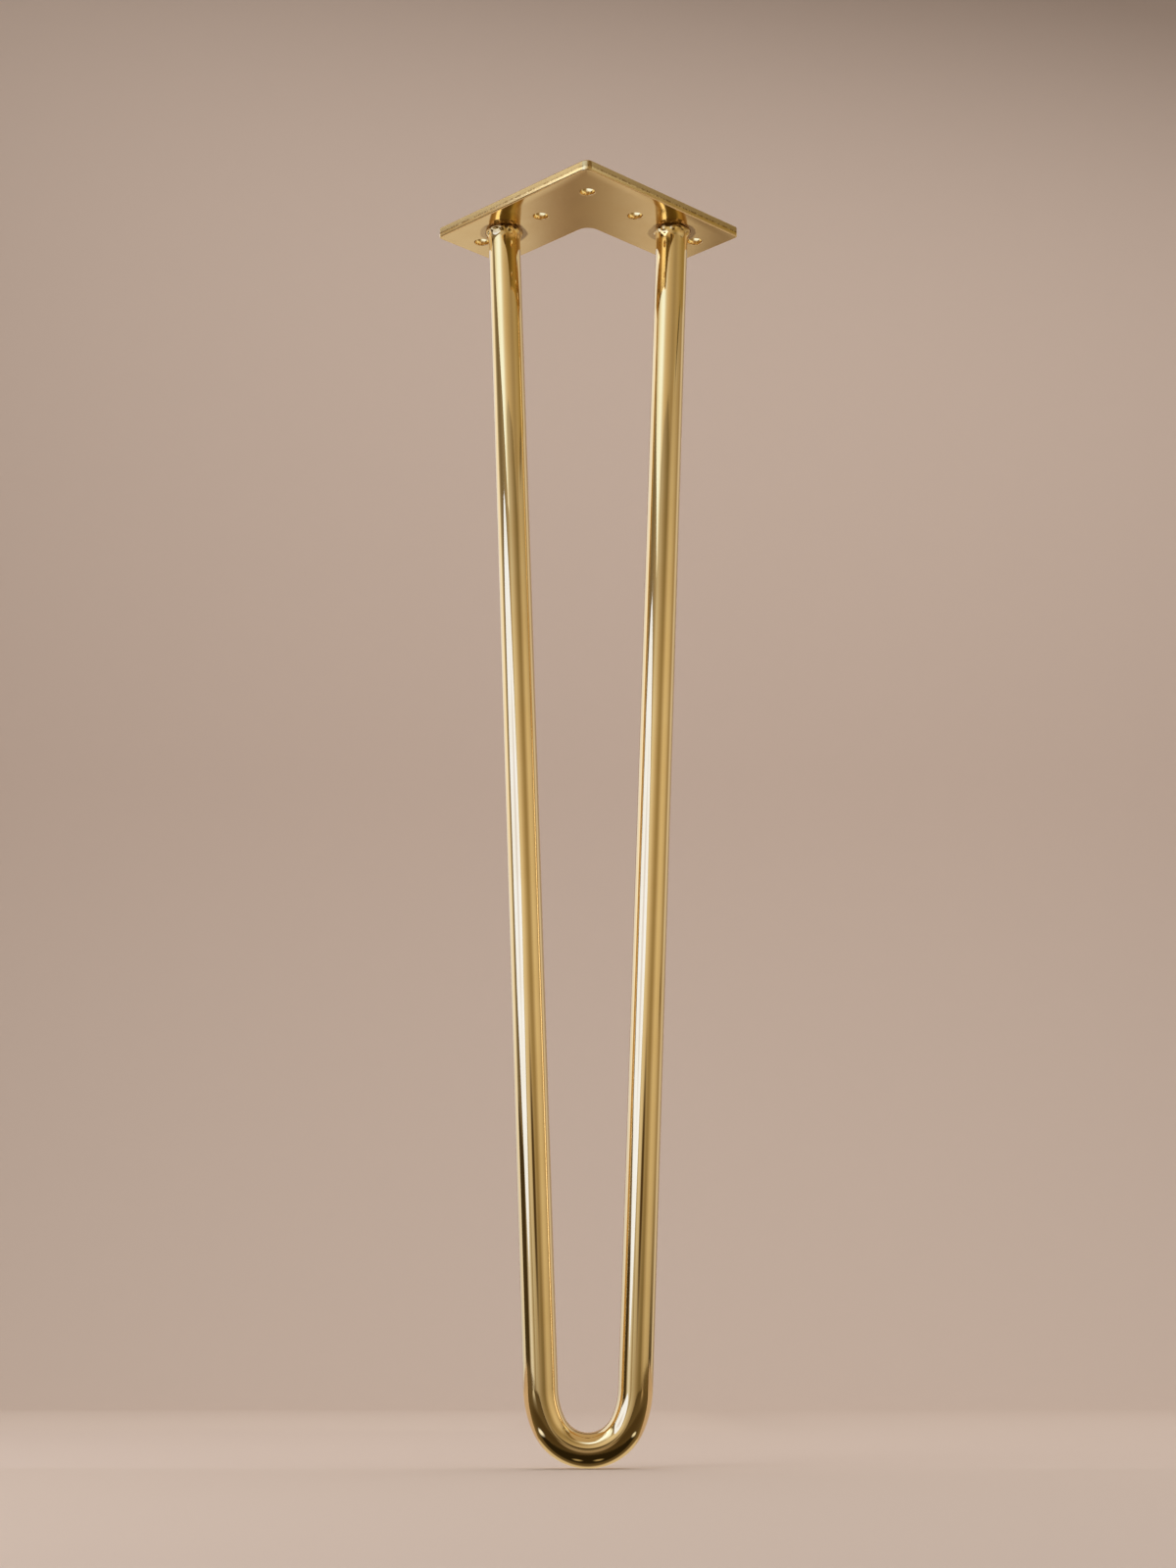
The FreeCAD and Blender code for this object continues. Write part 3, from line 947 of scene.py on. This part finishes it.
bent_card(
    "card_gap", ((-86, LOW, 0.45), (-25, LOW, 0.45)),
    (
        (-86, (0.18, 0.14, 0.09)), (-64, (0.24, 0.20, 0.14)), (-45, (0.34, 0.29, 0.21)),
        (-25, (0.46, 0.39, 0.30)),
    ),
    distance=0.94,
)
bent_card(
    "card_low_behind_key", ((-62, LOW, -0.28), (-34, LOW, -0.28)),
    (
        (-62, (0.34, 0.32, 0.29)), (-52, (0.84, 0.88, 1.02)), (-42, (0.76, 0.78, 0.86)),
        (-34, (0.46, 0.41, 0.33)),
    ),
    distance=0.92,
)
bent_card(
    "card_left_of_front", ((-36, LOW, 0.17), (-25, LOW, 0.22)),
    ((-36, (0.50, 0.42, 0.30)), (-30, (0.62, 0.56, 0.46)), (-25, (0.74, 0.70, 0.62))),
    ((LOW, 0.7), (-0.30, 0.9), (-0.20, 1.0), (0.1, 0.95), (0.22, 0.7)),
    distance=0.93,
)
bent_card(
    "card_low_left", ((-101, LOW, -0.27), (-66, LOW, -0.31)),
    ((-101, (0.07, 0.05, 0.025)), (-66, (0.05, 0.035, 0.015))),
    distance=0.91,
)
bent_card(
    "card_far_left", ((-101, LOW, 0.40), (-83, LOW, 0.40)),
    (
        (-101, (0.68, 0.65, 0.60)), (-96, (0.50, 0.46, 0.40)), (-90, (0.34, 0.29, 0.23)),
        (-83, (0.22, 0.18, 0.13)),
    ),
    ((LOW, 0.4), (-0.26, 0.6), (-0.12, 1.05), (0.08, 1.1), (0.2, 0.9), (0.40, 0.9)),
    distance=0.93,
)
bent_card(
    "card_back_left", ((-150, LOW, 0.8), (-101, LOW, 0.8)),
    (
        (-150, (0.76, 0.82, 1.08)), (-124, (0.92, 0.96, 1.12)), (-112, (1.04, 1.06, 1.18)),
        (-101, (0.92, 0.92, 0.98)),
    ),
    ((LOW, 0.78), (-0.2, 0.96), (0.0, 1.04), (0.8, 1.0)),
)
print("cards so far:", len(cards))

# %% [markdown]
# The plate's underside mirrors the bars' tops, which mirror the room in their turn. That second image looks
# down to a low shelf, and no first image shows it.

# %% A low shelf, seen by way of the plate
SHELF_HEIGHT = -0.40


def shelf(name, inner, outer, across):
    """A flat ring round the leg, seen only in a mirror image of a mirror image; across goes by azimuth."""
    first, last = across[0][0], across[-1][0]
    count = round((last - first) / 3) + 1
    vertices, places = [], []
    for i in range(count):
        azimuth = first + (last - first) * i / (count - 1)
        for radius in (inner, outer):
            vertices.append(around(azimuth, radius, SHELF_HEIGHT))
            places.append((azimuth, radius))
    coloured_card(name, vertices, places, across, only_twice=True)


shelf(
    "shelf_near", 0.50, 0.846,
    (
        (-150, (0.35, 0.28, 0.20)), (-115, (0.30, 0.20, 0.10)), (-76, (0.42, 0.32, 0.18)),
        (-63, (1.5, 1.6, 1.7)), (-44, (1.6, 1.7, 1.8)), (-34, (0.14, 0.11, 0.05)), (0, (0.11, 0.08, 0.03)),
        (36, (0.14, 0.11, 0.04)), (60, (0.42, 0.34, 0.15)), (80, (0.38, 0.28, 0.12)),
        (100, (0.24, 0.15, 0.05)), (150, (0.40, 0.32, 0.24)),
    ),
)
shelf(
    "shelf_far", 0.846, 0.90,
    (
        (-150, (0.35, 0.28, 0.20)), (-112, (0.42, 0.32, 0.18)), (-84, (0.36, 0.28, 0.15)),
        (-74, (0.10, 0.07, 0.03)), (-30, (0.05, 0.03, 0.01)), (0, (0.08, 0.06, 0.02)),
        (30, (0.20, 0.18, 0.08)), (60, (0.24, 0.23, 0.10)), (100, (0.22, 0.18, 0.08)),
        (150, (0.35, 0.28, 0.20)),
    ),
)
print("cards so far:", len(cards))

# %% [markdown]
# In front stands a warm panel with a dark shape in it, and on the right the room grows browner. Higher up,
# more panels and a ceiling show in the bars' tops and in the screw holes.

# %% The panel in front, behind the camera
bent_card(
    "card_front", ((-25, LOW, 0.25), (-12, LOW, TOP + 0.01), (14, LOW, TOP + 0.01), (31, LOW, 0.22)),
    (
        (-25, (0.78, 0.75, 0.68)), (-10, (0.70, 0.62, 0.50)), (0, (0.56, 0.47, 0.34)),
        (10, (0.44, 0.355, 0.22)), (20, (0.34, 0.265, 0.145)), (31, (0.36, 0.28, 0.155)),
    ),
    ((LOW, 0.62), (-0.36, 0.76), (-0.28, 0.95), (-0.10, 1.05), (0.05, 1.0), (0.15, 0.78), (TOP, 0.62)),
)
bent_card(
    "card_over_front", ((-36, 0.18, 0.425), (60, 0.18, 0.425)),
    (
        (-36, (0.95, 1.0, 1.1)), (-20, (0.73, 0.66, 0.58)), (-10, (0.64, 0.545, 0.41)),
        (0, (0.56, 0.465, 0.32)), (10, (0.50, 0.41, 0.27)), (20, (0.43, 0.35, 0.23)),
        (30, (0.37, 0.295, 0.18)), (40, (0.38, 0.30, 0.18)), (52, (0.44, 0.355, 0.215)),
        (60, (0.44, 0.35, 0.205)),
    ),
    distance=0.92,
)
bent_card(
    "card_ceiling", ((-100, 0.417, 0.75), (78, 0.417, 0.75)),
    (
        (-100, (1.2, 1.5, 2.2)), (-4, (1.2, 1.5, 2.1)), (16, (0.60, 0.55, 0.45)), (30, (0.26, 0.18, 0.08)),
        (78, (0.20, 0.14, 0.06)),
    ),
    distance=0.89,
)
soft_spot("spot_camera", around(0, 0.86, -0.300), (0.20, 0.13), (0.075, 0.048, 0.02), turn=0)
print("cards so far:", len(cards))

# %% The room on the right
bent_card(
    "card_right", ((31, LOW, 0.22), (50, LOW, TOP), (84, LOW, TOP + 0.04)),
    (
        (31, (0.38, 0.30, 0.17)), (40, (0.52, 0.43, 0.29)), (52, (0.70, 0.60, 0.43)),
        (64, (0.69, 0.59, 0.42)), (76, (0.62, 0.52, 0.37)), (84, (0.53, 0.44, 0.30)),
    ),
    ((LOW, 0.80), (-0.33, 0.92), (-0.15, 1.02), (0.05, 1.0), (0.15, 0.88), (TOP + 0.04, 0.68)),
)
bent_card(
    "card_over_right", ((56, 0.18, 0.44), (112, 0.18, 0.44)),
    (
        (56, (0.44, 0.355, 0.21)), (64, (0.43, 0.34, 0.19)), (76, (0.37, 0.28, 0.13)),
        (86, (0.33, 0.245, 0.10)), (94, (0.31, 0.23, 0.09)), (104, (0.36, 0.27, 0.12)),
        (112, (0.42, 0.34, 0.22)),
    ),
    distance=0.92,
)
bent_card(
    "card_far_right", ((84, LOW, TOP + 0.04), (112, LOW, TOP + 0.04)),
    (
        (84, (0.52, 0.43, 0.29)), (94, (0.38, 0.30, 0.18)), (103, (0.44, 0.365, 0.26)),
        (112, (0.66, 0.60, 0.56)),
    ),
    ((LOW, 0.2), (-0.40, 0.6), (-0.32, 0.95), (0.1, 1.0), (TOP + 0.04, 0.9)),
)
bent_card(
    "card_back_right", ((112, LOW, 0.8), (150, LOW, 0.8)),
    (
        (112, (0.68, 0.62, 0.57)), (121, (0.70, 0.64, 0.60)), (136, (0.42, 0.36, 0.32)),
        (150, (0.36, 0.31, 0.28)),
    ),
)
soft_spot("spot_streak", around(70, 0.87, 0.275), (0.25, 0.016), (0.10, 0.07, 0.03), turn=70, tilt=8)
soft_spot("spot_right", around(89, 0.86, -0.21), (0.07, 0.03), (0.10, 0.07, 0.03), turn=89)
print("cards so far:", len(cards))

# %% What the plate's two edge faces see
for name, across in (
    ("card_edge_left", ((-104, (1.62, 1.64, 1.60)), (-80, (1.74, 1.82, 1.88)))),
    ("card_edge_right", ((76, (0.70, 0.68, 0.62)), (106, (0.64, 0.62, 0.56)))),
):
    bent_card(name, ((across[0][0], 0.42, 0.75), (across[1][0], 0.42, 0.75)), across, distance=0.88)
print("cards so far:", len(cards))

# %% [markdown]
# The leg stands on a pale floor, but what the metal shows of the floor in front of it is dark: a mat lies
# there, again only in reflections. It darkens the underside of the bend, the welds and the screw holes.
# A few soft spots on it make the bend's bright dabs and the shade under the foot.

# %% The dark mat
LAYER = 0.03 * MM
MAT_HEIGHT = FLOOR + LAYER


def lay_sheet(name, across, back):
    """A card on the floor, coloured from left to right, with its strength set from front to back."""
    corners = [(x, y) for x in (across[0][0], across[-1][0]) for y in (back[0][0], back[-1][0])]
    coloured_card(name, [(x, y, MAT_HEIGHT) for x, y in corners], corners, across, back)


def floor_spot(name, x, y, half_size, colour, layer=1, tilt=0, firm=0.3):
    """A soft spot on the mat; later layers lie above earlier ones."""
    soft_spot(name, (x, y, MAT_HEIGHT + layer * LAYER), half_size, colour, tilt=tilt, firm=firm)


lay_sheet(
    "mat",
    (
        (-1.4, (0.16, 0.12, 0.07)), (-0.35, (0.13, 0.095, 0.05)), (0, (0.11, 0.08, 0.04)),
        (0.4, (0.12, 0.085, 0.04)), (0.9, (0.13, 0.09, 0.035)), (1.4, (0.22, 0.165, 0.08)),
    ),
    ((-1.5, 0.9), (-0.6, 0.8), (-0.1, 1.1), (0.02, 1.0), (0.030, 1.3), (0.037, 3.4)),
)
floor_spot("spot_lamp_on_floor", -0.40, -0.345, (0.46, 0.085), (0.62, 0.61, 0.60), tilt=43)
floor_spot("spot_right_on_floor", 0.40, -0.345, (0.44, 0.07), (0.40, 0.31, 0.20), tilt=-43)
floor_spot("spot_before_foot", 0.0, -0.062, (0.022, 0.078), (0.42, 0.33, 0.24), layer=3, firm=0.5)
floor_spot("spot_round_foot", 0.0, -0.020, (0.150, 0.052), (0.075, 0.050, 0.021), layer=2, firm=0.4)
floor_spot("spot_under_foot", 0.0, 0.0190, (0.042, 0.0068), (0.022, 0.015, 0.006), layer=3, firm=0.80)
floor_spot("spot_behind_foot", 0.0, 0.0385, (0.034, 0.0125), (0.68, 0.58, 0.44), layer=4, firm=0.88)
floor_spot("spot_dab_left", -0.038, 0.0145, (0.010, 0.009), (1.1, 1.2, 1.45), layer=4)
floor_spot("spot_dab_right", 0.034, 0.0165, (0.006, 0.006), (0.95, 0.98, 1.0), layer=4)
for name, side in (("spot_glint_left", -1), ("spot_glint_right", 1)):
    floor_spot(name, side * 0.0042, 0.0232, (0.0028, 0.0010), (0.42, 0.34, 0.20), layer=5, firm=0.2)
print("cards so far:", len(cards))

# %% [markdown]
# The plate's satin underside shows the floor far behind the leg. It has bands of tone there, from left to
# right, so that the plate's two arms look different.

# %% What the plate's underside sees of the floor behind
lay_sheet(
    "behind_plate",
    (
        (-0.5, (0.69, 0.63, 0.56)), (-0.062, (0.67, 0.60, 0.53)), (-0.036, (0.38, 0.29, 0.22)),
        (-0.018, (0.27, 0.19, 0.13)), (0.005, (0.38, 0.30, 0.22)), (0.046, (0.64, 0.55, 0.46)),
        (0.066, (0.56, 0.47, 0.36)), (0.100, (0.26, 0.19, 0.13)), (0.15, (0.44, 0.37, 0.30)),
        (0.5, (0.60, 0.53, 0.45)),
    ),
    ((0.6, 1.0), (1.5, 1.0)),
)
print("cards in all:", len(cards))

# %% Look
scene = bpy.context.scene
scene.view_settings.view_transform = "Standard"
